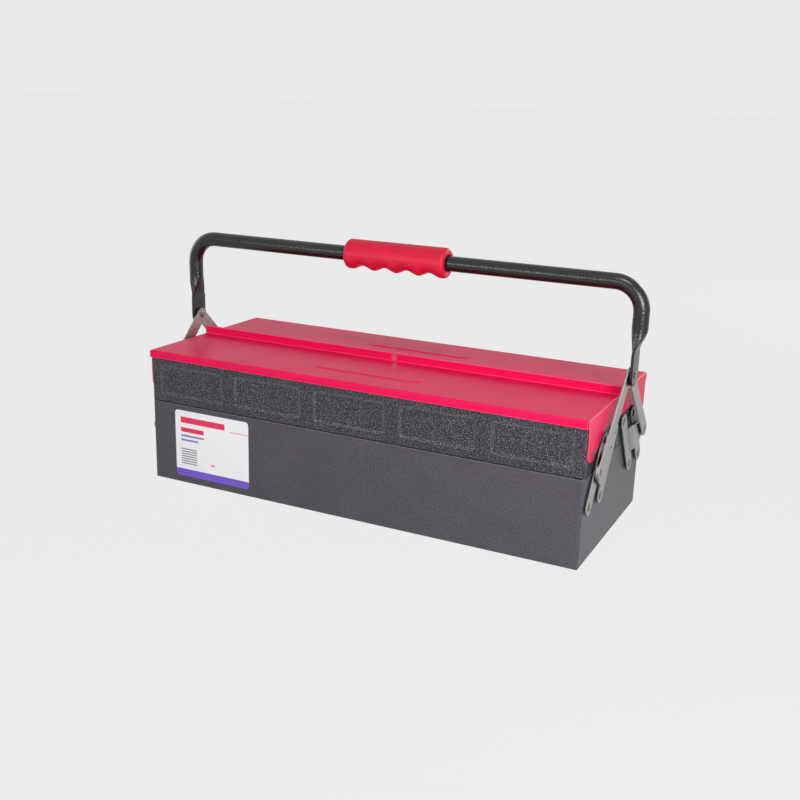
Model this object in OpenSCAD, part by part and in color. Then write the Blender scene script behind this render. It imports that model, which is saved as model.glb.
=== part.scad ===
// Cantilever tool box in folded sheet steel: a deep base, two upper trays with lids,
// strap linkages at both ends and a tubular carrying handle.
// X runs along the box, Y from front to back, Z up. The origin is the centre of the base's underside.

/* [Base] */
// Length of the base and the trays
box_l = 500; // [420:5:600]
// Depth of the base, front to back
box_w = 206; // [196:1:240]
// Height of the base
base_h = 91; // [85:1:110]
// Thickness of the sheet that the base and the trays are folded from
sheet = 1; // [0.8:0.1:1.4]
// Radius of the upright corners
corner_r = 2.5; // [2:0.5:5]
// Outer radius of the bends between a floor and its walls
floor_bend_r = 2; // [1.6:0.1:3]
// Height of the hem that is folded in round a rim
hem_h = 7; // [4:0.5:12]

/* [Trays] */
// Height of a tray, from its floor to the rim under the lid
tray_h = 56.4; // [50:0.2:62]
// Gap between the base's rim and a tray that rests on it
seat_gap = 0.3; // [0.2:0.1:0.6]
// How far the outer wall's rim is lower, so that the lid swings past it
rim_drop = 4.8; // [4.6:0.1:7]
// Number of pressed panels along an outer wall
panels = 5; // [3:1:6]
// Height of a pressed panel
panel_h = 33; // [24:1:36]
// Plain sheet between two panels
panel_gap = 16.8; // [12:0.2:24]
// Plain sheet between the tray's end and the panel beside it
panel_margin = 12; // [8:1:20]
// Depth of a pressed panel
panel_depth = 1; // [0.6:0.1:1.4]

/* [Lids] */
// Thickness of the lid sheet
lid_t = 1; // [0.8:0.1:1.2]
// Gap between a lid and the tray that it covers
lid_gap = 0.3; // [0.3:0.05:0.6]
// Depth of the lip along the outer edge
lip_h = 8; // [6:0.5:10]
// Outer radius of the bends between the lid's top, its lip and its end flanges
lid_bend_r = 1.6; // [1.4:0.1:2]
// Slit between the lip and an end flange
lip_slit = 0.8; // [0.4:0.1:1.2]
// Depth of the flange at each end
end_flange_h = 23; // [18:1:26]
// Height of the upright flange along the inner edge
ridge_h = 8.5; // [6:0.5:12]
// Diameter of the padlock hole through the two upright flanges
padlock_d = 6; // [4:0.5:6.5]
// Length of the raised bead on a lid
bead_l = 128; // [80:1:160]
// Width of the raised bead
bead_w = 22; // [16:1:28]
// Height of the raised bead
bead_rise = 0.9; // [0.5:0.1:1.2]

/* [Linkage] */
// Width of a link strap
link_w = 16; // [14:0.5:18]
// Thickness of the straps
strap_t = 1.6; // [1.4:0.1:1.8]
// Distance between the two pivots of a link
link_l = 67.7; // [62:0.1:70]
// Lean of a closed link towards the middle of the box, in degrees
link_lean = 34.2; // [32:0.1:36]
// Distance from the box's face to the outer pivot
pivot_in = 12; // [11:0.5:14]
// Distance between the outer and the inner pivot
pivot_pitch = 37; // [35:0.5:38]
// Height of a tray's pivots over its floor
tray_pivot_h = 25.7; // [22:0.1:27]
// Distance along the inner link from its low pivot to the arm's pivot
crank_along = 12.8; // [10:0.1:16]
// Distance from the inner link's axis to the arm's pivot
crank_out = 38.9; // [38:0.1:41]
// Outward step of the crank plate
crank_step = 3.6; // [3.5:0.1:5]
// Width of an arm
arm_w = 15; // [12:0.5:16]
// Diameter of the rivets' shanks
rivet_d = 5; // [4:0.1:5.5]
// Diameter of the rivets' heads
rivet_head_d = 8; // [7:0.1:9]
// Height of the rivets' heads
rivet_head_h = 0.9; // [0.7:0.05:1]
// Distance from the box's face to a lid's pivot
lid_pivot_in = 17; // [16:0.5:18]
// Height of a lid's pivot over the tray's floor
lid_pivot_h = 22; // [20:0.5:23]
// Radius of the lid's ear round its pivot
ear_r = 7.5; // [7:0.5:9]
// Distance from a lid's pivot to where the end flange begins to slope down to the ear
ear_run = 36; // [24:1:38]
// Radius of the ear's outer corner
ear_corner = 9.5; // [5:0.5:11]
// How far the end flange stops short of the lip's face
flange_set = 2.8; // [1.6:0.1:4]

/* [Handle] */
// Height of the handle's pivot over the lids
handle_rise = 21.5; // [18:0.5:26]
// Height of the crossbar's axis over the handle's pivot
bar_rise = 90.5; // [84:0.5:110]
// Distance from the box's end to the axis of the handle's upright
upright_out = 14; // [13.5:0.5:18]
// Diameter of the handle tube
tube_d = 16; // [14:0.5:18]
// Wall of the handle tube
tube_wall = 1.25; // [1:0.05:1.6]
// Radius of the tube's bends, at its axis
bend_r = 28; // [24:1:40]
// Width of the flattened end
flat_w = 22; // [20:0.5:24]
// Slit that is left between the walls of the flattened end
flat_slit = 0.3; // [0.2:0.1:0.5]
// Height over the pivot up to which the end is flat
flat_rise = 23; // [16:1:26]
// Length of the taper from flat to round
taper_l = 24; // [18:1:30]
// Length of the grip
grip_l = 118; // [100:1:130]
// Diameter of the grip
grip_d = 32; // [28:0.5:34]
// Distance between two finger hollows
finger_pitch = 25; // [20:0.5:26]
// Depth of the finger hollows
finger_depth = 4.2; // [2:0.1:5]

/* [Clearances] */
// Radial clearance of a rivet in the piece that turns on it
run_gap = 0.05; // [0.03:0.01:0.1]
// Gap between straps that pass each other
layer_gap = 0.2; // [0.15:0.05:0.3]

/* [Hidden] */
$fn = 48;

front = -1;
rear = 1;
left = -1;
right = 1;

paint_black = "#2b2a2d";
paint_red = "#d31245";
zinc = "#a9aaa6";
vinyl_red = "#d8243c";

// Heights, from the floor up
rim_z = base_h;
tray_z = rim_z + seat_gap;
tray_rim_z = tray_z + tray_h;
lid_z = tray_rim_z + lid_gap;
lid_top_z = lid_z + lid_t;
outer_rim_z = tray_rim_z - rim_drop;

// Half sizes and the gap that the two trays leave at the middle
half_l = box_l / 2;
half_w = box_w / 2;
mid_gap = 0.3;
lid_overhang = lid_gap + lid_t;
lid_edge = half_w + lid_overhang;
lid_half_l = half_l + lid_overhang;

// Layers at an end of the box, as distances from the middle along X
link_x = lid_half_l + lid_gap;
crank_x = link_x + crank_step;
front_arm_x = crank_x + strap_t + layer_gap;
rear_arm_x = front_arm_x + strap_t + layer_gap;
handle_x = rear_arm_x + strap_t + layer_gap;
flat_t = 2 * tube_wall + flat_slit;
upright_x = half_l + upright_out;
play = 0.1;

// Pivots of the rear half as [y, z]; the front half mirrors them
function turn(a) = [-sin(a), cos(a)];
link_dir = turn(link_lean);
link_side = [link_dir[1], -link_dir[0]];
base_pivot_z = tray_z + tray_pivot_h - link_l * link_dir[1];
base_outer = [half_w - pivot_in, base_pivot_z];
base_inner = [base_outer[0] - pivot_pitch, base_pivot_z];
tray_outer = base_outer + link_l * link_dir;
tray_inner = base_inner + link_l * link_dir;
crank_pin = base_inner + crank_along * link_dir + crank_out * link_side;
lid_pin = [half_w - lid_pivot_in, tray_z + lid_pivot_h];
handle_pin = [0, lid_top_z + handle_rise];

// Shapes -------------------------------------------------------------------

// Puts a rear half's piece in place, or mirrors it to the front
module half(side) {
    mirror([0, side == front ? 1 : 0, 0]) children();
}

// Puts a right end's piece in place, or mirrors it to the left
module end(side) {
    mirror([side == left ? 1 : 0, 0, 0]) children();
}

// Repeats a right end's piece at both ends
module both_ends() {
    for (side = [left, right]) end(side) children();
}

// Extrudes an outline drawn in Y and Z outwards from x by t
module plate(x, t) {
    translate([x, 0, 0]) rotate([90, 0, 90]) linear_extrude(t) children();
}

// Rectangle from low to high with round corners
module round_rect(low, high, r) {
    size = high - low;
    translate(low + [r, 0]) square(size - [2 * r, 0]);
    translate(low + [0, r]) square(size - [0, 2 * r]);
    for (x = [low[0] + r, high[0] - r], y = [low[1] + r, high[1] - r]) translate([x, y]) circle(r);
}

// Strap outline with round ends about the points p and q
module strap(p, q, w) {
    span = q - p;
    translate(p) rotate(atan2(span[1], span[0])) {
        circle(d = w);
        translate([norm(span), 0]) circle(d = w);
        translate([0, -w / 2]) square([norm(span), w]);
    }
}

module hole(p, d) {
    translate(p) circle(d = d);
}

// Points of a rectangle w by h with round corners, at height z
function ring(w, h, r, z, steps = 5) = [
    for (corner = [0 : 3], step = [0 : steps])
        let (a = 90 * corner + 90 * step / steps,
             sx = corner == 0 || corner == 3 ? 1 : -1,
             sy = corner < 2 ? 1 : -1)
        [sx * (w / 2 - r) + r * cos(a), sy * (h / 2 - r) + r * sin(a), z]
];

// Solid through rings of equal length, closed at both ends
module loft(rings) {
    n = len(rings[0]);
    last = len(rings) - 1;
    polyhedron(
        [for (points = rings) each points],
        concat(
            [[for (i = [0 : n - 1]) i]],
            [for (k = [0 : last - 1], i = [0 : n - 1])
                [k * n + i, (k + 1) * n + i, (k + 1) * n + (i + 1) % n, k * n + (i + 1) % n]],
            [[for (i = [n - 1 : -1 : 0]) last * n + i]]
        )
    );
}

// Pressed form w by h at its mouth, with flanks that slope in by flank over its depth
module pressed(w, h, r, depth, flank, mouth = 0) {
    loft([
        ring(w + 2 * mouth, h + 2 * mouth, r + mouth, -mouth * depth / flank),
        ring(w - 2 * flank, h - 2 * flank, r - flank, depth)
    ]);
}

// Domed rivet head that stands on x and points outwards, or inwards where way is -1
function dome(x, way, r, h) = [[0, x + way * h], [0.5 * r, x + way * 0.88 * h],
                               [0.82 * r, x + way * 0.55 * h], [r, x + way * 0.12 * h], [r, x]];

// Rivet along X at the point p, with its shank from x0 to x1 and a head beyond each end
module rivet(p, x0, x1, d = rivet_d, head_d = rivet_head_d, head_h = rivet_head_h) {
    outer = dome(x1, 1, head_d / 2, head_h);
    inner = dome(x0, -1, head_d / 2, head_h);
    translate([0, p[0], p[1]]) rotate([0, 90, 0])
        rotate_extrude() polygon(concat(outer, [[d / 2, x1], [d / 2, x0]],
                                        [for (i = [len(inner) - 1 : -1 : 0]) inner[i]]));
}

// Ring along X round a shank
module spacer(p, x0, x1) {
    plate(x0, x1 - x0) difference() {
        hole(p, rivet_head_d + 1);
        hole(p, rivet_d);
    }
}

// Rectangle from low to high with its two lower corners round
module low_round(low, high, r) {
    size = high - low;
    translate(low + [0, r]) square(size - [0, r]);
    translate(low + [r, 0]) square(size - [2 * r, 0]);
    for (x = [low[0] + r, high[0] - r]) translate([x, low[1] + r]) circle(r);
}

// Block from corner low to corner high with round upright corners and round lower edges
module pan_block(low, high, corner, bend) {
    tall = high[2] - low[2];
    intersection() {
        translate([0, 0, low[2]]) linear_extrude(tall)
            round_rect([low[0], low[1]], [high[0], high[1]], corner);
        plate(-box_l, 2 * box_l) low_round([low[1], low[2]], [high[1], high[2]], bend);
        rotate([90, 0, 0]) translate([0, 0, -box_w]) linear_extrude(2 * box_w)
            low_round([low[0], low[2]], [high[0], high[2]], bend);
    }
}

// Open box of folded sheet with a hem round its rim, from corner low to corner high
module pan(low, high, rim_hem) {
    difference() {
        pan_block(low, high, corner_r, floor_bend_r);
        pan_block(low + [sheet, sheet, sheet], high + [-sheet, -sheet, sheet],
                  corner_r - sheet, floor_bend_r - sheet);
    }
    half_in = sheet / 2;
    translate([0, 0, high[2] - rim_hem]) linear_extrude(rim_hem) difference() {
        round_rect([low[0] + half_in, low[1] + half_in], [high[0] - half_in, high[1] - half_in],
                   corner_r - half_in);
        round_rect([low[0] + 2 * sheet, low[1] + 2 * sheet], [high[0] - 2 * sheet, high[1] - 2 * sheet], 0.4);
    }
}

// Base ---------------------------------------------------------------------

module base_tray() {
    color(paint_black) difference() {
        pan([-half_l, -half_w, 0], [half_l, half_w, rim_z], hem_h);
        for (y = [base_outer[0], base_inner[0]]) {
            for (side = [front, rear]) both_ends()
                plate(half_l - 2 * sheet, 4 * sheet) hole([side * y, base_pivot_z], rivet_d);
        }
    }
}

module base_spacers() {
    color(zinc) both_ends() for (side = [front, rear], p = [base_outer, base_inner])
        half(side) spacer(p, half_l, link_x - play);
}

module base_rivets() {
    color(zinc) both_ends() for (side = [front, rear], p = [base_outer, base_inner])
        half(side) rivet(p, half_l - sheet, link_x + strap_t + play);
}

// Trays --------------------------------------------------------------------

panel_w = (box_l - 2 * panel_margin - (panels - 1) * panel_gap) / panels;
panel_pitch = panel_w + panel_gap;
panel_z = (tray_z + lid_top_z - lip_h) / 2 + 1;
panel_r = 3;
panel_flank = 1.6;

// Pressed panels along the outer wall, sunk from a face that lies at y
module wall_panels(y, mouth) {
    for (i = [0 : panels - 1])
        translate([(i - (panels - 1) / 2) * panel_pitch, y, panel_z]) rotate([90, 0, 0])
            pressed(panel_w, panel_h, panel_r, panel_depth, panel_flank, mouth);
}

// Removes the outer wall's rim down to its lower height, and the end walls' rims along the lid's swing
module rim_relief() {
    swing_r = lid_z - lid_gap / 2 - lid_pin[1];
    translate([-half_l - 1, lid_pin[0], outer_rim_z])
        cube([box_l + 2, half_w, tray_h]);
    both_ends() plate(half_l - 3 * sheet, 4 * sheet) difference() {
        translate([lid_pin[0], outer_rim_z - 1]) square([half_w, tray_h]);
        translate(lid_pin) circle(swing_r, $fn = 96);
    }
}

module tray(side) {
    half(side) difference() {
        union() {
            pan([-half_l, mid_gap, tray_z], [half_l, half_w, tray_rim_z], hem_h);
            wall_panels(half_w - sheet, 0.3);
        }
        rim_relief();
        wall_panels(half_w, 0.8);
        for (p = [tray_outer, tray_inner, lid_pin])
            both_ends() plate(half_l - 2 * sheet, 4 * sheet) hole(p, rivet_d);
    }
}

module tray_spacers(side) {
    color(zinc) both_ends() for (p = [tray_outer, tray_inner])
        half(side) spacer(p, half_l, link_x - play);
}

module tray_rivets(side) {
    color(zinc) both_ends() for (p = [tray_outer, tray_inner])
        half(side) rivet(p, half_l - sheet, link_x + strap_t + play);
}

module front_tray() { color(paint_black) tray(front); }
module front_tray_spacers() { tray_spacers(front); }
module front_tray_rivets() { tray_rivets(front); }
module rear_tray() { color(paint_black) tray(rear); }
module rear_tray_spacers() { tray_spacers(rear); }
module rear_tray_rivets() { tray_rivets(rear); }

// Lids ---------------------------------------------------------------------

// Outline of a lid's end flange with the ear that drops to its pivot
module ear_outline() {
    flange_z = lid_top_z - end_flange_h;
    low_z = lid_pin[1] - ear_r;
    edge = lid_edge - flange_set;
    corner = edge - ear_corner;
    difference() {
        union() {
            translate([mid_gap, flange_z]) square([edge - mid_gap, end_flange_h]);
            hole(lid_pin, 2 * ear_r);
            translate([corner, low_z + ear_corner]) circle(ear_corner);
            polygon([[lid_pin[0] - ear_run, flange_z], lid_pin + ear_r * [-0.51, -0.86],
                     [lid_pin[0], low_z], [corner, low_z], [edge, low_z + ear_corner],
                     [edge, flange_z + 1], [lid_pin[0] - ear_run, flange_z + 1]]);
        }
        hole(lid_pin, rivet_d + 2 * run_gap);
    }
}

// Rounds only the corner high of a rectangle from low to high
module one_round(low, high, r) {
    size = high - low;
    translate(low) square(size - [r, 0]);
    translate(low) square(size - [0, r]);
    translate(high - [r, r]) circle(r);
}

// Block with round edges along the lip and the two ends of a lid, smaller by inset on these sides and the top
module lid_block(inset) {
    low_z = lid_pin[1] - 2 * ear_r;
    r = lid_bend_r - inset;
    intersection() {
        plate(-box_l, 2 * box_l) one_round([-box_w, low_z], [lid_edge - inset, lid_top_z - inset], r);
        rotate([90, 0, 0]) translate([0, 0, -box_w]) linear_extrude(2 * box_w) {
            one_round([0, low_z], [lid_half_l - inset, lid_top_z - inset], r);
            mirror([1, 0]) one_round([0, low_z], [lid_half_l - inset, lid_top_z - inset], r);
        }
    }
}

// Lid's top with its lip and its end flanges, bent from one sheet
module lid_shell() {
    intersection() {
        difference() {
            lid_block(0);
            lid_block(lid_t);
        }
        union() {
            translate([-box_l, mid_gap, lid_top_z - lip_h]) cube([2 * box_l, box_w, 2 * lip_h]);
            both_ends() plate(lid_half_l - lid_t, 2 * lid_t) ear_outline();
        }
    }
}

module lid(side) {
    bead_y = (mid_gap + lid_edge) / 2 + 8;
    slit_h = lip_h - lid_bend_r;
    half(side) difference() {
        union() {
            lid_shell();
            translate([-lid_half_l, mid_gap, lid_z]) cube([2 * lid_half_l, lid_t, lid_t + ridge_h]);
            translate([0, bead_y, lid_top_z])
                pressed(bead_l, bead_w, bead_w / 2 - 0.1, bead_rise, 1.5, 0.2);
        }
        translate([0, bead_y, lid_z]) pressed(bead_l, bead_w, bead_w / 2 - 0.1, bead_rise, 1.5, 0.1);
        translate([0, 2 * lid_t, lid_top_z + ridge_h / 2]) rotate([90, 0, 0])
            cylinder(4 * lid_t, d = padlock_d);
        both_ends() translate([lid_half_l - lid_t - lip_slit, lid_edge - lid_bend_r, lid_top_z - 2 * lip_h])
            cube([lip_slit, 2 * lid_bend_r, lip_h + slit_h]);
    }
}

module lid_rivets(side) {
    color(zinc) both_ends() half(side)
        rivet(lid_pin, half_l - sheet, lid_half_l + play, head_h = rivet_head_h - 0.2);
}

module front_lid() { color(paint_red) lid(front); }
module front_lid_rivets() { lid_rivets(front); }
module rear_lid() { color(paint_red) lid(rear); }
module rear_lid_rivets() { lid_rivets(rear); }

// Linkage ------------------------------------------------------------------

bore_d = rivet_d + 2 * run_gap;

module outer_link(side, at) {
    color(zinc) end(at) half(side) plate(link_x, strap_t) difference() {
        strap(base_outer, tray_outer, link_w);
        hole(base_outer, bore_d);
        hole(tray_outer, bore_d);
    }
}

// Local frame of the inner link: x along it from its low pivot, y away from it, z outwards
module link_frame() {
    translate([0, base_inner[0], base_inner[1]])
        rotate([90, 0, 90]) rotate(90 + link_lean) mirror([0, 1, 0]) children();
}

// Inner link with a plate that is bent outwards over the outer link and carries the arm's pivot
module crank(side, at) {
    bend_low = 12;
    bend_high = 47;
    bend_l = bend_high - bend_low;
    bend_in = link_w / 2 - 0.5;
    bend_out = link_w / 2 + 4;
    pin_r = 7.5;
    pin = [crank_along, crank_out];
    color(zinc) end(at) half(side) link_frame() {
        translate([0, 0, link_x]) linear_extrude(strap_t) difference() {
            strap([0, 0], [link_l, 0], link_w);
            hole([0, 0], bore_d);
            hole([link_l, 0], bore_d);
        }
        translate([bend_low, 0, 0]) rotate([90, 0, 90]) linear_extrude(bend_l)
            polygon([[bend_in - 1, link_x], [bend_in, link_x], [bend_out, crank_x],
                     [bend_out + 1, crank_x], [bend_out + 1, crank_x + strap_t],
                     [bend_out - 0.4, crank_x + strap_t], [bend_in - 0.4, link_x + strap_t],
                     [bend_in - 1, link_x + strap_t]]);
        translate([0, 0, crank_x]) linear_extrude(strap_t) difference() {
            union() {
                polygon([[bend_low, bend_out], [bend_high, bend_out], pin + pin_r * [0.7, 0.71],
                         pin, pin + pin_r * [-1, 0], [4.5, bend_out + 8]]);
                hole(pin, 2 * pin_r);
            }
            hole(pin, rivet_d);
        }
    }
}

// The arm turns on the shank of a rivet that is fixed in the crank
module arm_rivets(side, arm_x) {
    color(zinc) both_ends() half(side)
        rivet(crank_pin, crank_x, arm_x + strap_t + play, head_d = rivet_head_d - 1, head_h = 0.7);
}

module arm(side, at, x) {
    color(zinc) end(at) half(side) plate(x, strap_t) difference() {
        strap(crank_pin, handle_pin, arm_w);
        hole(crank_pin, bore_d);
        hole(handle_pin, rivet_d);
    }
}

module front_outer_link_left() { outer_link(front, left); }
module front_outer_link_right() { outer_link(front, right); }
module rear_outer_link_left() { outer_link(rear, left); }
module rear_outer_link_right() { outer_link(rear, right); }
module front_crank_left() { crank(front, left); }
module front_crank_right() { crank(front, right); }
module rear_crank_left() { crank(rear, left); }
module rear_crank_right() { crank(rear, right); }
module front_arm_rivets() { arm_rivets(front, front_arm_x); }
module rear_arm_rivets() { arm_rivets(rear, rear_arm_x); }
module rear_arm_spacers() {
    color(zinc) both_ends() spacer(crank_pin, crank_x + strap_t, rear_arm_x - play);
}
module front_arm_left() { arm(front, left, front_arm_x); }
module front_arm_right() { arm(front, right, front_arm_x); }
module rear_arm_left() { arm(rear, left, rear_arm_x); }
module rear_arm_right() { arm(rear, right, rear_arm_x); }

// Short rivets at the front arms' tops, which end flush with the arms
module front_arm_top_rivets() {
    color(zinc) both_ends() translate([0, handle_pin[0], handle_pin[1]]) rotate([0, 90, 0])
        rotate_extrude() polygon(concat([[0, front_arm_x + strap_t], [rivet_d / 2, front_arm_x + strap_t],
            [rivet_d / 2, front_arm_x]], [for (i = [4 : -1 : 0])
            dome(front_arm_x, -1, rivet_head_d / 2, rivet_head_h)[i]]));
}

// Handle -------------------------------------------------------------------

// Rivets through the rear arms' tops and the handle's flattened ends
module handle_rivets() {
    shoulder = layer_gap / 2;
    color(zinc) both_ends() translate([0, handle_pin[0], handle_pin[1]]) rotate([0, 90, 0])
        rotate_extrude() polygon(concat(
            dome(handle_x + flat_t + play, 1, rivet_head_d / 2, 1.1),
            [[rivet_d / 2, handle_x + flat_t + play], [rivet_d / 2, rear_arm_x - shoulder],
             [0, rear_arm_x - shoulder]]));
}

tube_r = tube_d / 2;
bar_z = handle_pin[1] + bar_rise;
flat_x = handle_x + flat_t / 2;

// Section of the handle's end at height z, where s runs from 0, flat, to 1, round.
// A skin of 0 gives the outside, and a skin of one wall the inside
function tube_ring(z, s, skin, n = 24) =
    let (ease = s * s * (3 - 2 * s),
         seam = 0.02,
         power = 2 / (6 - 4 * ease),
         thick = flat_t / 2 + (tube_r - flat_t / 2) * ease - skin - seam,
         wide = flat_w / 2 + (tube_r - flat_w / 2) * ease - skin - seam,
         x = flat_x + (upright_x - flat_x) * ease)
    [for (i = [0 : n - 1])
        let (a = 360 * i / n)
        [x + thick * sign(cos(a)) * pow(abs(cos(a)), power),
         wide * sign(sin(a)) * pow(abs(sin(a)), power), z]];

// Flattened end of the handle and its taper. The inside is open at the bottom as a slit
module handle_end(skin) {
    flat_top = handle_pin[1] + flat_rise;
    flat_bottom = handle_pin[1] - (skin > 0 ? flat_w : 0);
    width = flat_w - 2 * skin;
    steps = 7;
    plate(handle_x + skin, flat_t - 2 * skin) {
        if (skin == 0) hole(handle_pin, flat_w);
        translate([-width / 2, flat_bottom]) square([width, flat_top - flat_bottom]);
    }
    loft([for (k = [0 : steps]) tube_ring(flat_top - 1 + (taper_l + 1) * k / steps, k / steps, skin)]);
}

// Solid run of the whole handle, thinner by skin all round
module handle_run(skin) {
    bend_x = upright_x - bend_r;
    bend_z = bar_z - bend_r;
    round_z = handle_pin[1] + flat_rise + taper_l;
    both_ends() {
        handle_end(skin);
        translate([upright_x, 0, round_z]) cylinder(bend_z - round_z, r = tube_r - skin);
        translate([bend_x, 0, bend_z]) rotate([90, 0, 0])
            rotate_extrude(angle = 90) translate([bend_r, 0]) circle(tube_r - skin);
    }
    translate([-bend_x, 0, bar_z]) rotate([0, 90, 0]) cylinder(2 * bend_x, r = tube_r - skin);
}

module handle_tube() {
    color(paint_black) difference() {
        handle_run(0);
        handle_run(tube_wall);
        both_ends() plate(handle_x - 1, flat_t + 2) hole(handle_pin, bore_d);
    }
}

module handle_grip() {
    fingers = floor(grip_l / finger_pitch);
    end_round = 3;
    bore_r = tube_r + run_gap;
    mouth_r = tube_r + 1.8;
    mouth_depth = 3;
    hollow_r = (pow(finger_pitch * 0.36, 2) + pow(finger_depth, 2)) / (2 * finger_depth);
    outer = grip_d / 2;
    half_grip = grip_l / 2;
    color(vinyl_red) translate([0, 0, bar_z]) difference() {
        rotate([0, 90, 0]) rotate_extrude() polygon([
            [bore_r, -half_grip + mouth_depth], [mouth_r, -half_grip + mouth_depth],
            [mouth_r, -half_grip], [outer - end_round, -half_grip],
            [outer - 0.3 * end_round, -half_grip + 0.3 * end_round], [outer, -half_grip + end_round],
            [outer, half_grip - end_round], [outer - 0.3 * end_round, half_grip - 0.3 * end_round],
            [outer - end_round, half_grip], [mouth_r, half_grip],
            [mouth_r, half_grip - mouth_depth], [bore_r, half_grip - mouth_depth]]);
        for (i = [0 : fingers - 1])
            translate([(i - (fingers - 1) / 2) * finger_pitch, outer, -outer - hollow_r + finger_depth])
                rotate([90, 0, 0]) cylinder(2 * outer, r = hollow_r);
    }
}

base_tray();
base_spacers();
base_rivets();
front_tray();
front_tray_spacers();
front_tray_rivets();
front_lid();
front_lid_rivets();
rear_tray();
rear_tray_spacers();
rear_tray_rivets();
rear_lid();
rear_lid_rivets();
front_outer_link_left();
front_outer_link_right();
front_crank_left();
front_crank_right();
rear_outer_link_left();
rear_outer_link_right();
rear_crank_left();
rear_crank_right();
front_arm_rivets();
rear_arm_rivets();
rear_arm_spacers();
front_arm_left();
front_arm_right();
rear_arm_left();
rear_arm_right();
front_arm_top_rivets();
handle_rivets();
handle_tube();
handle_grip();
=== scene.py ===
"""Finishes for a cantilever tool box in sheet steel, laid out as a Blender add-on.

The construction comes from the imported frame. This file paints it, moulds the handle's grip,
sticks a plain sheet of film on the front and sets up a pale studio."""

from math import cos, pi, radians, sin, tau

import bpy
from mathutils import Matrix, Vector


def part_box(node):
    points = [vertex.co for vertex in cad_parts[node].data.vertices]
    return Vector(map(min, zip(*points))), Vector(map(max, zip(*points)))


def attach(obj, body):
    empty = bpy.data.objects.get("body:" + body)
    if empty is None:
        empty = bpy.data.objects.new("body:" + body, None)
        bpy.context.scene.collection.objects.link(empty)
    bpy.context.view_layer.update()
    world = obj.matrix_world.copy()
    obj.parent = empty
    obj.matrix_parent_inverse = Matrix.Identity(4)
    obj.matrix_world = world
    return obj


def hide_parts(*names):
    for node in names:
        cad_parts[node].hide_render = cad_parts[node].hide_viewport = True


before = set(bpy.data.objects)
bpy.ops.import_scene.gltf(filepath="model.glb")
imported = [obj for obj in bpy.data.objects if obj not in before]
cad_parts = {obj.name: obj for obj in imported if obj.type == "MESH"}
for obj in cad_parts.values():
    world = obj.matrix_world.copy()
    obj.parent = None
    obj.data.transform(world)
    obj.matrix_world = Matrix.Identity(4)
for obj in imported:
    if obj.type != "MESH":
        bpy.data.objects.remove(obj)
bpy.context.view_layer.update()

bl_info = {
    "name": "Cantilever tool box",
    "version": (1, 0, 0),
    "blender": (4, 5, 0),
    "location": "View3D > Sidebar > Tool box",
    "description": "Paints and dresses a cantilever tool box in sheet steel",
    "category": "Object",
}

MM = 0.001


# Colours and lengths ---------------------------------------------------------

def linear(hex_colour):
    """Turns an sRGB colour written as #rrggbb into linear red, green and blue."""
    parts = [int(hex_colour[i:i + 2], 16) / 255 for i in (1, 3, 5)]
    return tuple(c / 12.92 if c <= 0.04045 else ((c + 0.055) / 1.055) ** 2.4 for c in parts)


def colour_prop(name, hex_colour, description):
    """A colour that the panel shows."""
    return bpy.props.FloatVectorProperty(
        name=name, description=description, subtype="COLOR", size=3, min=0, max=1,
        default=linear(hex_colour))


def length_prop(name, millimetres, description):
    """A length that the panel shows, given in millimetres."""
    return bpy.props.FloatProperty(
        name=name, description=description, unit="LENGTH", min=0, default=millimetres * MM)


class ToolBoxColours(bpy.types.PropertyGroup):
    """Colours of the finishes"""
    base: colour_prop("Base paint", "#464349", "Paint on the base")
    tray: colour_prop("Tray paint", "#2E2C31", "Wrinkle paint on the two trays")
    # Painted highlight: the colour that the folds and rims of the base and the trays turn to, standing in
    # for light caught on their rounded edges
    lid: colour_prop("Lid enamel", "#DF0A4E", "Enamel on the two lids")
    edge_highlight: colour_prop("Highlighted edges", "#8E8C92", "Folds and rims of the base and the trays")
    # Painted highlight: the colour that the folds and rims of the lids turn to, for the same light on
    # their edges
    lid_edge_highlight: colour_prop("Lid edges", "#EE6C88", "Folds and rims of the lids")
    handle: colour_prop("Handle enamel", "#121214", "Hammered enamel on the handle tube")
    grip: colour_prop("Grip", "#CC1238", "Soft plastic of the handle's grip")
    plate: colour_prop("Zinc plate", "#9E9F9D", "Plated links, cranks and arms")
    rivet: colour_prop("Rivets", "#7C7C7A", "Plated rivets and spacers")
    film: colour_prop("Sticker", "#E7E7E9", "Film of the sticker on the front")
    band: colour_prop("Sticker band", "#6A4CC0", "Band along the sticker's lower edge")
    rule: colour_prop("Sticker rule", "#DE2352", "Rule and wide bars on the sticker")
    ink: colour_prop("Sticker ink", "#7F7DA8", "Narrow bars on the sticker")
    tick: colour_prop("Sticker ticks", "#77777B", "Square of stripes on the sticker")
    floor: colour_prop("Floor", "#EBEBEB", "Floor and background")


class ToolBoxSizes(bpy.types.PropertyGroup):
    """Sizes of the pieces that are made here"""
    sticker_left: length_prop("Sticker's left edge", 30.0, "From the box's left end to the sticker")
    sticker_w: length_prop("Sticker's width", 97.5, "Width of the sticker")
    sticker_h: length_prop("Sticker's height", 76.8, "Height of the sticker")
    sticker_low: length_prop("Sticker's lower edge", 8.5, "From the floor to the sticker")
    sticker_r: length_prop("Sticker's corners", 4.0, "Radius of the sticker's corners")
    band_h: length_prop("Band's height", 8.5, "Height of the sticker's band")
    finger_pitch: length_prop("Finger pitch", 26.2, "Distance between two finger hollows")
    finger_depth: length_prop("Finger depth", 4.2, "Depth of the finger hollows")
    grip_round: length_prop("Grip's ends", 4.0, "Radius of the grip's end edges")
    seam_h: length_prop("Mould seam", 0.18, "Height of the line where the grip's mould halves meet")


def colours():
    """The colours that the panel shows."""
    return bpy.context.scene.tool_box_colours


def sizes():
    """The sizes that the panel shows."""
    return bpy.context.scene.tool_box_sizes


# Materials -------------------------------------------------------------------

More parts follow.
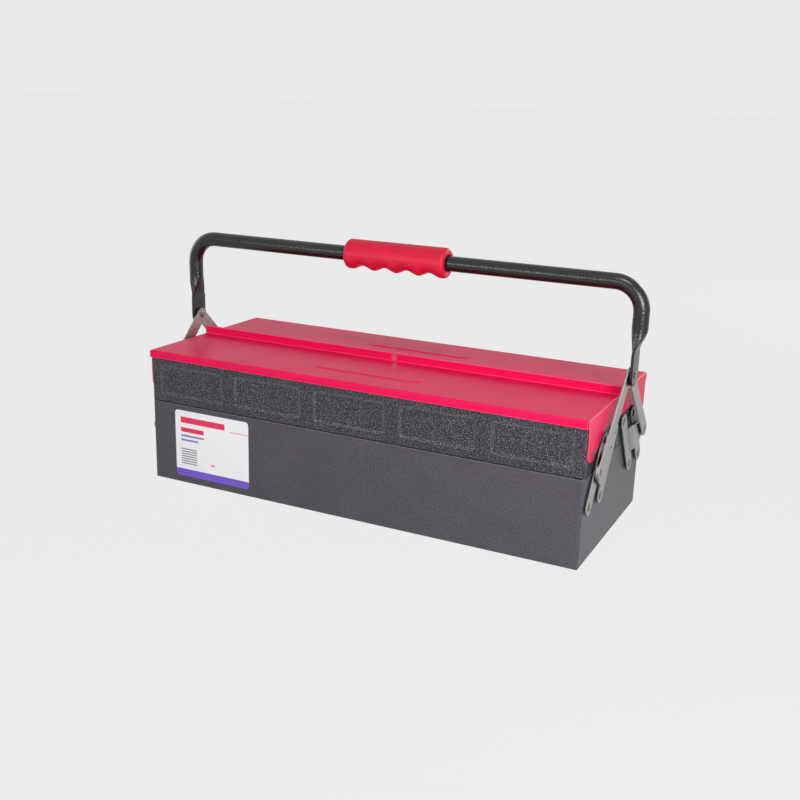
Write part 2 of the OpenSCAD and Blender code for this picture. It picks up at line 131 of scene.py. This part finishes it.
def wire(tree, node, **inputs):
    """Links a node's inputs to sockets or sets them to values.

    An input is named as in Blender with _ for a space. Where names repeat it goes by its number:
    i0, i6 and i7 are the factor and the two colours of a Mix node."""
    for name, value in inputs.items():
        key = int(name[1:]) if name[0] == "i" and name[1:].isdigit() else name.replace("_", " ")
        if isinstance(value, bpy.types.NodeSocket):
            tree.links.new(value, node.inputs[key])
        else:
            node.inputs[key].default_value = value


def add_node(tree, kind, settings=None, **inputs):
    """Adds a node with its settings and wires its inputs."""
    node = tree.nodes.new(kind)
    for name, value in (settings or {}).items():
        setattr(node, name, value)
    wire(tree, node, **inputs)
    return node


def new_material(name):
    """An empty node material with its shader, and the coordinates of its piece in metres."""
    material = bpy.data.materials.new(name)
    material.use_nodes = True
    tree = material.node_tree
    tree.nodes.clear()
    shader = add_node(tree, "ShaderNodeBsdfPrincipled")
    out = add_node(tree, "ShaderNodeOutputMaterial")
    tree.links.new(shader.outputs[0], out.inputs["Surface"])
    place = add_node(tree, "ShaderNodeTexCoord").outputs["Object"]
    return material, tree, shader, place


def per_metre(millimetres):
    """Scale of a noise whose features are that far apart."""
    return 1 / (millimetres * MM)


def rgba(colour):
    """The colour with full opacity."""
    return (*colour, 1)


def shade(colour, factor):
    """The same colour, darker or lighter by a factor."""
    return (*(min(1, c * factor) for c in colour), 1)


def mottled(tree, place, colour, spots, spread):
    """A colour that wanders lighter and darker by spread, in spots so many millimetres wide."""
    noise = add_node(tree, "ShaderNodeTexNoise", Vector=place, Scale=per_metre(spots), Detail=3.0)
    ramp = add_node(tree, "ShaderNodeValToRGB", Fac=noise.outputs["Fac"])
    dark, light = ramp.color_ramp.elements
    dark.position, light.position = 0.3, 0.7
    dark.color = shade(colour, 1 - spread)
    light.color = shade(colour, 1 + spread)
    return ramp.outputs["Color"]


def relief(tree, height, depth, edge):
    """Normals of bumps up to depth deep on faces whose edges look rounded by the radius edge.

    Both lengths are in millimetres. Gives the rounded normal and the bumped one."""
    soft = add_node(tree, "ShaderNodeBevel", {"samples": 4}, Radius=edge * MM).outputs[0]
    bump = add_node(tree, "ShaderNodeBump", Height=height, Strength=1.0, Distance=depth * MM, Normal=soft)
    return soft, bump.outputs["Normal"]


def painted_edge_highlights(tree, soft, colour, highlight_colour):
    """A colour that turns to another along folds and rims: a painted highlight for the light that their
    rounded edges catch.
    """
    flat = add_node(tree, "ShaderNodeNewGeometry").outputs["Normal"]
    turn = add_node(tree, "ShaderNodeVectorMath", {"operation": "DOT_PRODUCT"}, i0=soft, i1=flat)
    # Painted highlight mask: 1 where the rounded normal turns away from the flat one, along edges
    highlight_mask = add_node(tree, "ShaderNodeMapRange", Value=turn.outputs["Value"], From_Min=0.995, From_Max=0.9,
                   To_Min=0.0, To_Max=1.0)
    mix = add_node(tree, "ShaderNodeMix", {"data_type": "RGBA"}, i0=highlight_mask.outputs["Result"], i6=colour,
                   i7=rgba(highlight_colour))
    return mix.outputs[2]


def speckled_paint(name, colour, grain, depth, dark, light, rough):
    """Textured stoving paint with bumps grain millimetres apart and up to depth high.

    The colour is multiplied by dark between the bumps, a painted shade, and by light on their tops,
    a painted glint, where they are also smoother. Along the folds it turns to a painted highlight."""
    material, tree, shader, place = new_material(name)
    bumps = add_node(tree, "ShaderNodeTexNoise", Vector=place, Scale=per_metre(grain), Detail=1.0,
                     Roughness=0.5).outputs["Fac"]
    # Painted shade and glints: the colour darkens between the bumps and lightens on their tops, as if lit
    glint_shade_level = add_node(tree, "ShaderNodeMapRange", Value=bumps, From_Min=0.5, From_Max=0.7, To_Min=dark,
                     To_Max=light)
    tint_with_glints = add_node(tree, "ShaderNodeMix", {"data_type": "RGBA", "blend_type": "MULTIPLY"}, i0=1.0,
                    i6=mottled(tree, place, colour, spots=30, spread=0.06), i7=glint_shade_level.outputs["Result"])
    soft, bumped = relief(tree, bumps, depth, edge=0.9)
    swing = 0.08
    matt = add_node(tree, "ShaderNodeMapRange", Value=bumps, To_Min=rough + swing, To_Max=rough - swing)
    # Folds and rims turn to the painted highlight colour
    wire(tree, shader, Base_Color=painted_edge_highlights(tree, soft, tint_with_glints.outputs[2], colours().edge_highlight),
         Normal=bumped, Roughness=matt.outputs["Result"], Specular_IOR_Level=0.3)
    return material


def satin_charcoal_paint():
    """Stoved satin paint, sprayed on sheet steel: a soft sheen over a fine grain like leather, with faint
    painted glints on the grain's tops.

    The real grain is finer than a millimetre, and is drawn at one so that it shows."""
    return speckled_paint("satin_charcoal_paint", colours().base, grain=1.0, depth=0.2, dark=0.86,
                          light=2.0, rough=0.4)


def wrinkle_charcoal_paint():
    """Wrinkle paint, stoved until its skin puckers: hard little glints, partly from its bumps and mostly
    painted into its colour, all over a dark ground.
    """
    return speckled_paint("wrinkle_charcoal_paint", colours().tray, grain=1.05, depth=0.3, dark=0.3,
                          light=7.5, rough=0.28)


def crimson_enamel():
    """Stoved enamel, sprayed on sheet steel: clear red with a soft sheen and a trace of orange peel."""
    material, tree, shader, place = new_material("crimson_enamel")
    peel = add_node(tree, "ShaderNodeTexNoise", Vector=place, Scale=per_metre(2.6), Detail=1.0)
    soft, bumped = relief(tree, peel.outputs["Fac"], depth=0.06, edge=1.0)
    red = mottled(tree, place, colours().lid, spots=60, spread=0.03)
    haze = add_node(tree, "ShaderNodeTexNoise", Vector=place, Scale=per_metre(45), Detail=4.0)
    matt = add_node(tree, "ShaderNodeMapRange", Value=haze.outputs["Fac"], To_Min=0.32, To_Max=0.42)
    # Folds and rims of the lids turn to a painted highlight
    wire(tree, shader, Base_Color=painted_edge_highlights(tree, soft, red, colours().lid_edge_highlight), Normal=bumped,
         Roughness=matt.outputs["Result"], Specular_IOR_Level=0.16)
    return material


def hammered_black_enamel():
    """Hammer finish on steel tube: shallow round dimples that break up a soft highlight."""
    material, tree, shader, place = new_material("hammered_black_enamel")
    dimples = add_node(tree, "ShaderNodeTexVoronoi", {"feature": "SMOOTH_F1"}, Vector=place,
                       Scale=per_metre(2.2), Smoothness=0.6)
    fine = add_node(tree, "ShaderNodeTexNoise", Vector=place, Scale=per_metre(0.9), Detail=2.0)
    height = add_node(tree, "ShaderNodeMath", {"operation": "MULTIPLY_ADD"}, i0=fine.outputs["Fac"],
                      i1=0.4, i2=dimples.outputs["Distance"])
    bump = add_node(tree, "ShaderNodeBump", Height=height.outputs[0], Strength=0.5, Distance=0.3 * MM)
    matt = add_node(tree, "ShaderNodeMapRange", Value=fine.outputs["Fac"], To_Min=0.22, To_Max=0.32)
    wire(tree, shader, Base_Color=mottled(tree, place, colours().handle, spots=8, spread=0.15),
         Normal=bump.outputs["Normal"], Roughness=matt.outputs["Result"], IOR=1.5)
    return material


def soft_pvc():
    """Plasticised PVC, injection-moulded: opaque red with a waxy sheen and a little scatter at thin edges.

    The skin of the mould is finer than it is drawn here, so that it shows."""
    material, tree, shader, place = new_material("soft_pvc")
    skin = add_node(tree, "ShaderNodeTexNoise", Vector=place, Scale=per_metre(0.8), Detail=3.0)
    bump = add_node(tree, "ShaderNodeBump", Height=skin.outputs["Fac"], Strength=0.35, Distance=0.06 * MM)
    matt = add_node(tree, "ShaderNodeMapRange", Value=skin.outputs["Fac"], To_Min=0.40, To_Max=0.54)
    wire(tree, shader, Base_Color=mottled(tree, place, colours().grip, spots=14, spread=0.05),
         Normal=bump.outputs["Normal"], Roughness=matt.outputs["Result"], IOR=1.53,
         Specular_IOR_Level=0.3, Subsurface_Weight=0.12, Subsurface_Radius=(1.0, 0.25, 0.2),
         Subsurface_Scale=1.5 * MM)
    return material


def plated_steel(name, colour, rough, spots):
    """Zinc-plated steel: a bright metal dulled by fine crystals and handling, with painted shade in its
    corners.

    Its crystals are too fine to see one by one, and are drawn as clouds that many millimetres wide
    as spots says."""
    material, tree, shader, place = new_material(name)
    clouds = add_node(tree, "ShaderNodeTexNoise", Vector=place, Scale=per_metre(spots), Detail=5.0,
                      Roughness=0.65).outputs["Fac"]
    _, bumped = relief(tree, clouds, depth=0.012, edge=0.35)
    # Painted shade: the colour darkens where ambient occlusion finds close surfaces, in corners and round
    # rivet heads
    occlusion = add_node(tree, "ShaderNodeAmbientOcclusion", {"samples": 4}, Distance=3.5 * MM)
    painted_shade = add_node(tree, "ShaderNodeMapRange", Value=occlusion.outputs["AO"], From_Min=0.72,
                     From_Max=0.97, To_Min=0.08, To_Max=1.0)
    shaded_colour = add_node(tree, "ShaderNodeMix", {"data_type": "RGBA", "blend_type": "MULTIPLY"}, i0=1.0,
                    i6=mottled(tree, place, colour, spots=7, spread=0.05), i7=painted_shade.outputs["Result"])
    matt = add_node(tree, "ShaderNodeMapRange", Value=clouds, To_Min=rough - 0.06, To_Max=rough + 0.1)
    wire(tree, shader, Base_Color=shaded_colour.outputs[2], Normal=bumped, Roughness=matt.outputs["Result"],
         Metallic=0.85)
    return material


def zinc_plate():
    """Strap steel, stamped and barrel-plated: satin grey with faint clouds."""
    return plated_steel("zinc_plate", colours().plate, rough=0.42, spots=0.7)


def rivet_zinc():
    """Cold-headed rivets, plated: smoother than the straps, with finer clouds."""
    return plated_steel("rivet_zinc", colours().rivet, rough=0.24, spots=0.4)


def printed_film(name, colour):
    """Printed vinyl film, rolled on by hand: a satin face with a faint waviness."""
    material, tree, shader, place = new_material(name)
    waves = add_node(tree, "ShaderNodeTexNoise", Vector=place, Scale=per_metre(6), Detail=2.0)
    bump = add_node(tree, "ShaderNodeBump", Height=waves.outputs["Fac"], Strength=0.2, Distance=0.05 * MM)
    matt = add_node(tree, "ShaderNodeMapRange", Value=waves.outputs["Fac"], To_Min=0.32, To_Max=0.44)
    wire(tree, shader, Base_Color=mottled(tree, place, colour, spots=25, spread=0.015),
         Normal=bump.outputs["Normal"], Roughness=matt.outputs["Result"])
    return material


def paint_nodes(material, *names):
    """Gives CAD nodes a finish in every slot of theirs."""
    for name in names:
        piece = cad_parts[name]
        if not piece.data.materials:
            piece.data.materials.append(material)
        for slot in piece.material_slots:
            slot.material = material


# Mesh helpers ----------------------------------------------------------------

def new_piece(name, points, faces, material, smooth=True):
    """A mesh piece from points in metres and faces."""
    mesh = bpy.data.meshes.new(name)
    mesh.from_pydata(points, [], faces)
    mesh.validate()
    mesh.materials.append(material)
    mesh.polygons.foreach_set("use_smooth", [smooth] * len(mesh.polygons))
    piece = bpy.data.objects.new(name, mesh)
    bpy.context.scene.collection.objects.link(piece)
    return piece


def rounded_outline(low, high, radius):
    """Corner points, anticlockwise, of a rectangle with round corners."""
    steps = 6
    centres = [(high[0] - radius, high[1] - radius), (low[0] + radius, high[1] - radius),
               (low[0] + radius, low[1] + radius), (high[0] - radius, low[1] + radius)]
    return [(x + radius * cos(a), y + radius * sin(a))
            for k, (x, y) in enumerate(centres)
            for a in [pi / 2 * (k + i / steps) for i in range(steps + 1)]]


def film_piece(name, outline, back_y, thick, material):
    """A flat piece of film against the front wall, from its outline in X and Z."""
    count = len(outline)
    points = [(x, back_y - t, z) for t in (0, thick) for x, z in outline]
    faces = [list(range(count, 2 * count)), list(range(count - 1, -1, -1))]
    faces += [[i, (i + 1) % count, count + (i + 1) % count, count + i] for i in range(count)]
    return new_piece(name, points, faces, material, smooth=False)


# Pieces ----------------------------------------------------------------------

class TOOLBOX_OT_base(bpy.types.Operator):
    """Paints the base"""
    bl_idname = "toolbox.base"
    bl_label = "Base"

    def execute(self, context):
        paint_nodes(satin_charcoal_paint(), "base_tray")
        return {"FINISHED"}


class TOOLBOX_OT_trays(bpy.types.Operator):
    """Paints the two upper trays"""
    bl_idname = "toolbox.trays"
    bl_label = "Trays"

    def execute(self, context):
        paint_nodes(wrinkle_charcoal_paint(), "front_tray", "rear_tray")
        return {"FINISHED"}


class TOOLBOX_OT_lids(bpy.types.Operator):
    """Paints the two lids"""
    bl_idname = "toolbox.lids"
    bl_label = "Lids"

    def execute(self, context):
        paint_nodes(crimson_enamel(), "front_lid", "rear_lid")
        return {"FINISHED"}


class TOOLBOX_OT_linkage(bpy.types.Operator):
    """Plates the links, cranks and arms, which come left and right, and the rivets and spacers"""
    bl_idname = "toolbox.linkage"
    bl_label = "Linkage"

    def execute(self, context):
        names = list(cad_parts)
        paint_nodes(zinc_plate(), *[n for n in names if n.endswith(("_left", "_right"))])
        paint_nodes(rivet_zinc(), *[n for n in names if n.endswith(("_rivets", "_spacers"))])
        return {"FINISHED"}


class TOOLBOX_OT_handle(bpy.types.Operator):
    """Enamels the handle tube"""
    bl_idname = "toolbox.handle"
    bl_label = "Handle tube"

    def execute(self, context):
        paint_nodes(hammered_black_enamel(), "handle_tube")
        return {"FINISHED"}


class TOOLBOX_OT_grip(bpy.types.Operator):
    """Moulds the grip with its finger hollows, in place of the plain one"""
    bl_idname = "toolbox.grip"
    bl_label = "Grip"

    def execute(self, context):
        low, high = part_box("handle_grip")
        middle = (low + high) / 2
        half_l = (high.x - low.x) / 2
        outer = (high.z - low.z) / 2
        pitch, depth = sizes().finger_pitch, sizes().finger_depth
        end_r, seam_h = sizes().grip_round, sizes().seam_h
        tube_r = 8.0 * MM
        mouth_r = tube_r + 1.6 * MM
        mouth_depth = 3 * MM
        seam_half_angle = 0.03
        crest_power = 0.8   # under 1 makes the hollows wide and the crests between them narrow
        side_power = 1.3    # over 1 lets the hollows end sooner towards the sides
        reach = int(2 * half_l // pitch) * pitch / 2
        steps_along, steps_around, steps_round = 236, 96, 8

        def hollow(x):
            """Depth of the finger hollows at x, from 0 on a crest to 1 in a valley."""
            if abs(x) > reach:
                return 0
            wave = 0.5 - 0.5 * cos(tau * (x + reach) / pitch)
            return wave ** crest_power

        def radius(x, angle):
            """Outer radius, where the angle is measured from straight down."""
            under = max(0, cos(angle)) ** side_power
            seam = seam_h * max(0, 1 - abs(abs(angle) - pi / 2) / seam_half_angle)
            end = half_l - abs(x)
            if end < end_r:
                seam = 0
            drop = end_r - (end_r ** 2 - max(0, end_r - end) ** 2) ** 0.5
            return outer + seam - depth * hollow(x) * under - drop

        # Rings of points from end to end, as x and, inside the grip's mouths, a radius
        stations = [half_l * (2 * i / steps_along - 1) for i in range(steps_along + 1)]
        stations += [side * (half_l - end_r * (1 - cos(pi / 2 * k / steps_round)))
                     for side in (-1, 1) for k in range(1, steps_round)]
        rings = [(-half_l + mouth_depth, tube_r), (-half_l + mouth_depth, mouth_r), (-half_l, mouth_r)]
        rings += [(x, None) for x in sorted(stations)]
        rings += [(half_l, mouth_r), (half_l - mouth_depth, mouth_r), (half_l - mouth_depth, tube_r)]
        points = []
        for x, inner_r in rings:
            for k in range(steps_around):
                angle = tau * k / steps_around - pi
                r = inner_r or radius(x, angle)
                points.append((middle.x + x, middle.y + r * sin(angle), middle.z - r * cos(angle)))
        faces = []
        for ring in range(0, (len(rings) - 1) * steps_around, steps_around):
            after = ring + steps_around
            for k in range(steps_around):
                beside = (k + 1) % steps_around
                faces.append([ring + k, after + k, after + beside, ring + beside])
        grip = new_piece("finger_grip", points, faces, soft_pvc())
        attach(grip, "handle")
        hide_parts("handle_grip")
        return {"FINISHED"}


STICKER_MARGIN = 7.5
STRIPE_COUNT, STRIPE_TOP, STRIPE_PITCH = 7, 44, 2.8

# Plain bars on the sticker, as name, colour, left, drop, width and height. The lengths are in millimetres:
# left and drop are measured from the film's left and top edges.
STICKER_BARS = [
    ("rule", "rule", 73.5, 14.6, 24, 0.7),
    ("title", "rule", STICKER_MARGIN, 7.2, 59, 7),
    ("line", "rule", STICKER_MARGIN, 19.5, 31, 5.2),
    ("dash", "rule", 47, 57.5, 5.5, 1.6),
    ("bar_1", "ink", STICKER_MARGIN, 28, 31, 2.2),
    ("bar_2", "ink", STICKER_MARGIN, 33, 23, 2.2),
]
STICKER_BARS += [(f"stripe_{k + 1}", "tick", STICKER_MARGIN, STRIPE_TOP + STRIPE_PITCH * k, 21, 1.3)
                 for k in range(STRIPE_COUNT)]


class TOOLBOX_OT_sticker(bpy.types.Operator):
    """Sticks a plain film with a band and bars on the base's front"""
    bl_idname = "toolbox.sticker"
    bl_label = "Sticker"

    def execute(self, context):
        low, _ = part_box("base_tray")
        film_t, print_t = 0.12 * MM, 0.02 * MM
        left = low.x + sizes().sticker_left
        right = left + sizes().sticker_w
        bottom = sizes().sticker_low
        top = bottom + sizes().sticker_h
        band_top = bottom + sizes().band_h
        outline = rounded_outline((left, bottom), (right, top), sizes().sticker_r)
        band = [(right, band_top), (left, band_top)] + [p for p in outline if p[1] < band_top]

        def bar(inset, drop, width, height):
            """Corners of a bar, from a row of the table."""
            x, z = left + inset * MM, top - drop * MM
            return [(x + width * MM, z), (x, z), (x, z - height * MM), (x + width * MM, z - height * MM)]

        white = printed_film("white_film", colours().film)
        pieces = [film_piece("sticker_film", outline, low.y, film_t, white)]
        shapes = [("band", "band", band)]
        shapes += [(name, colour, bar(*lengths)) for name, colour, *lengths in STICKER_BARS]
        for name, colour, shape in shapes:
            ink = printed_film(f"sticker_{name}_print", getattr(colours(), colour))
            pieces.append(film_piece(f"sticker_{name}", shape, low.y - film_t, print_t, ink))
        for piece in pieces:
            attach(piece, "base")
        return {"FINISHED"}


# Stage -----------------------------------------------------------------------

BOX_MIDDLE = (0, 0, 0.12)
BAR_MIDDLE = (0, 0, 0.27)

# Lamps: name, place, the point it faces, width and height in metres, power in watts
LAMPS = (
    ("lamp_key", (0.78, -0.66, 0.38), BOX_MIDDLE, 0.42, 0.42, 7.1),
    ("lamp_front", (-0.30, -1.10, 0.44), BAR_MIDDLE, 0.9, 0.12, 3.3),
    ("lamp_top", (0.40, -0.85, 1.55), BOX_MIDDLE, 0.4, 0.4, 8),
    ("lamp_left", (-1.60, 0.10, 0.35), BOX_MIDDLE, 0.8, 0.8, 3.5),
    ("lamp_back", (0.60, 1.70, 0.70), BOX_MIDDLE, 0.8, 0.8, 9),
)


def soft_lamp(name, place, target, width, height, watts):
    """A rectangular lamp that faces a point."""
    data = bpy.data.lights.new(name, "AREA")
    data.shape = "RECTANGLE"
    data.size, data.size_y, data.energy = width, height, watts
    lamp = bpy.data.objects.new(name, data)
    lamp.location = place
    lamp.rotation_euler = (Vector(target) - Vector(place)).to_track_quat("-Z", "Y").to_euler()
    bpy.context.scene.collection.objects.link(lamp)


def seen_rays(tree):
    """1 for the rays that show the background: from the camera, mirrored or through glass."""
    path = add_node(tree, "ShaderNodeLightPath")
    mirrored = add_node(tree, "ShaderNodeMath", {"operation": "MAXIMUM"},
                        i0=path.outputs["Is Glossy Ray"], i1=path.outputs["Is Transmission Ray"])
    return add_node(tree, "ShaderNodeMath", {"operation": "MAXIMUM"},
                    i0=path.outputs["Is Camera Ray"], i1=mirrored.outputs[0]).outputs[0]


def pale_world():
    """Even light from all round, with the floor's colour behind the object."""
    world = bpy.data.worlds.new("pale_world")
    bpy.context.scene.world = world
    world.use_nodes = True
    tree = world.node_tree
    tree.nodes.clear()
    white = rgba(linear("#FFFFFF"))
    light = add_node(tree, "ShaderNodeBackground", Color=white, Strength=0.19).outputs[0]
    back = add_node(tree, "ShaderNodeBackground", Color=rgba(colours().floor), Strength=1.0).outputs[0]
    mix = add_node(tree, "ShaderNodeMixShader", Fac=seen_rays(tree), i1=light, i2=back)
    add_node(tree, "ShaderNodeOutputWorld", Surface=mix.outputs[0])


def pale_floor():
    """A wide floor of the background's colour, which darkens a little under the object.

    Where it is seen it glows with most of that colour, and a faint diffuse share takes the shadow.
    Where it isn't, it throws the lamps' light back as a plain pale floor does."""
    half_side = 30
    unseen_share, glow_share, shadow_share = 0.95, 0.975, 0.035
    points = [(x * half_side, y * half_side, 0) for x, y in ((-1, -1), (1, -1), (1, 1), (-1, 1))]
    material = bpy.data.materials.new("pale_floor")
    material.use_nodes = True
    tree = material.node_tree
    tree.nodes.clear()
    plain = add_node(tree, "ShaderNodeBsdfDiffuse", Color=shade(colours().floor, unseen_share))
    glow = add_node(tree, "ShaderNodeEmission", Color=rgba(colours().floor), Strength=glow_share)
    faint = add_node(tree, "ShaderNodeBsdfDiffuse", Color=shade(colours().floor, shadow_share))
    shown = add_node(tree, "ShaderNodeAddShader", i0=glow.outputs[0], i1=faint.outputs[0])
    mix = add_node(tree, "ShaderNodeMixShader", Fac=seen_rays(tree), i1=plain.outputs[0],
                   i2=shown.outputs[0])
    add_node(tree, "ShaderNodeOutputMaterial", Surface=mix.outputs[0])
    floor = new_piece("floor", points, [(0, 1, 2, 3)], material, smooth=False)


def photo_camera():
    """A camera at the photograph's viewing angle, with the photograph's slight roll."""
    azimuth, elevation, roll = radians(26.13), radians(16.36), radians(1.65)
    place = Vector((0.49835, -1.00029, 0.43244))
    back = Vector((sin(azimuth) * cos(elevation), -cos(azimuth) * cos(elevation), sin(elevation)))
    right = Vector((cos(azimuth), sin(azimuth), 0))
    up = back.cross(right)
    rolled_right = right * cos(roll) + up * sin(roll)
    rolled_up = up * cos(roll) - right * sin(roll)
    data = bpy.data.cameras.new("camera")
    data.sensor_width = 36
    data.lens = 47.52
    camera = bpy.data.objects.new("camera", data)
    turn = Matrix((rolled_right, rolled_up, back)).transposed()
    camera.matrix_world = Matrix.Translation(place) @ turn.to_4x4()
    bpy.context.scene.collection.objects.link(camera)
    bpy.context.scene.camera = camera


class TOOLBOX_OT_stage(bpy.types.Operator):
    """Sets up the floor, the light and the camera"""
    bl_idname = "toolbox.stage"
    bl_label = "Stage"

    def execute(self, context):
        context.scene.view_settings.view_transform = "Standard"
        pale_world()
        pale_floor()
        photo_camera()
        for lamp in LAMPS:
            soft_lamp(*lamp)
        return {"FINISHED"}


# Panel -----------------------------------------------------------------------

OPERATORS = (TOOLBOX_OT_stage, TOOLBOX_OT_base, TOOLBOX_OT_trays, TOOLBOX_OT_lids, TOOLBOX_OT_linkage,
             TOOLBOX_OT_handle, TOOLBOX_OT_grip, TOOLBOX_OT_sticker)


class TOOLBOX_PT_panel(bpy.types.Panel):
    """Lists the tool box's colours, sizes and pieces"""
    bl_idname = "TOOLBOX_PT_panel"
    bl_label = "Tool box"
    bl_space_type = "VIEW_3D"
    bl_region_type = "UI"
    bl_category = "Tool box"

    def draw(self, context):
        for group in (context.scene.tool_box_colours, context.scene.tool_box_sizes):
            column = self.layout.column()
            for name in group.__annotations__:
                column.prop(group, name)
        for operator in OPERATORS:
            self.layout.operator(operator.bl_idname)


CLASSES = (ToolBoxColours, ToolBoxSizes, *OPERATORS, TOOLBOX_PT_panel)


def register():
    for cls in CLASSES:
        bpy.utils.register_class(cls)
    bpy.types.Scene.tool_box_colours = bpy.props.PointerProperty(type=ToolBoxColours)
    bpy.types.Scene.tool_box_sizes = bpy.props.PointerProperty(type=ToolBoxSizes)


def unregister():
    del bpy.types.Scene.tool_box_sizes
    del bpy.types.Scene.tool_box_colours
    for cls in reversed(CLASSES):
        bpy.utils.unregister_class(cls)


def main():
    """Makes everything in order."""
    register()
    for operator in OPERATORS:
        group, name = operator.bl_idname.split(".")
        getattr(getattr(bpy.ops, group), name)()


if __name__ == "__main__":
    main()
